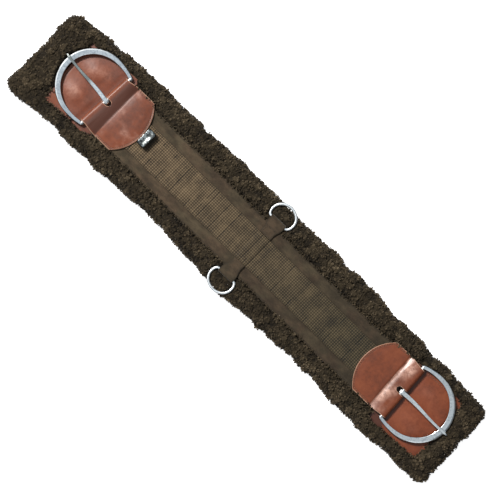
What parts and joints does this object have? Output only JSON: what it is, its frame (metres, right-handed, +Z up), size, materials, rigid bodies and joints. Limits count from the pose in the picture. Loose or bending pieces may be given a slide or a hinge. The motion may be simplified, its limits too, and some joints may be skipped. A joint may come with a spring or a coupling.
{
  "type": "saddle girth",
  "caption": "Fleece-lined western cinch girth: webbing strap with leather chapes, a swinging tongue buckle at each end, side D rings and a small keeper.",
  "frame": {"origin": "middle of the underside, on the plane of the face that lies against the horse", "axes": "+X along the strap, +Y across it, +Z up away from the horse; the girth lies flat"},
  "size_m": [0.834, 0.171, 0.0351],
  "materials": {
    "pile": "dark brown curly fleece pile",
    "band": "plain dark brown woven webbing",
    "ribbed": "golden brown cross-ribbed webbing",
    "hide": "smooth russet leather, soft sheen, pale cut edge",
    "base_hide": "smooth russet leather",
    "nickel": "polished nickel plate",
    "thread": "waxed tan stitching thread",
    "dark_thread": "dark brown stitching thread"
  },
  "bodies": {
    "girth": {"fleece_lining": "pile", "backing_web": "band", "centre_web": "ribbed", "chape_left": "hide", "chape_right": "hide", "safe_left": "base_hide", "safe_right": "base_hide", "ring_tab_back": "band", "ring_tab_front": "band", "keeper_loop": "nickel", "chape_seam_left": "thread", "chape_seam_right": "thread", "safe_seam_left": "thread", "safe_seam_right": "thread", "web_seam_back_left": "dark_thread", "web_seam_back_right": "dark_thread", "web_seam_front_left": "dark_thread", "web_seam_front_right": "dark_thread", "strip_seam_back": "dark_thread", "strip_seam_front": "dark_thread", "tab_seam_back": "dark_thread", "tab_seam_front": "dark_thread"},
    "frame_left": {"buckle_frame_left": "nickel"},
    "frame_right": {"buckle_frame_right": "nickel"},
    "prong_left": {"tongue_left": "nickel"},
    "prong_right": {"tongue_right": "nickel"},
    "ring_back": {"d_ring_back": "nickel"},
    "ring_front": {"d_ring_front": "nickel"}
  },
  "joints": [
    {"name": "frame_left_swing", "type": "hinge", "parent": "girth", "child": "frame_left", "pos_m": [-0.291, 0.0038, 0.0205], "axis": [0.0663, 0.9978, 0], "range_deg": [0, 65]},
    {"name": "tongue_left_swing", "type": "hinge", "parent": "frame_left", "child": "prong_left", "pos_m": [-0.291, 0.0038, 0.0205], "axis": [0.0663, 0.9978, 0], "range_deg": [0, 45]},
    {"name": "frame_right_swing", "type": "hinge", "parent": "girth", "child": "frame_right", "pos_m": [0.303, 0.0039, 0.0205], "axis": [0.0628, -0.998, 0], "range_deg": [0, 65]},
    {"name": "tongue_right_swing", "type": "hinge", "parent": "frame_right", "child": "prong_right", "pos_m": [0.303, 0.0039, 0.0205], "axis": [0.0628, -0.998, 0], "range_deg": [0, 45]},
    {"name": "ring_back_swing", "type": "hinge", "parent": "girth", "child": "ring_back", "pos_m": [0.0057, 0.053, 0.0212], "axis": [1, 0, 0], "range_deg": [0, 155]},
    {"name": "ring_front_swing", "type": "hinge", "parent": "girth", "child": "ring_front", "pos_m": [0.0057, -0.053, 0.0212], "axis": [-1, 0, 0], "range_deg": [0, 155]}
  ]
}
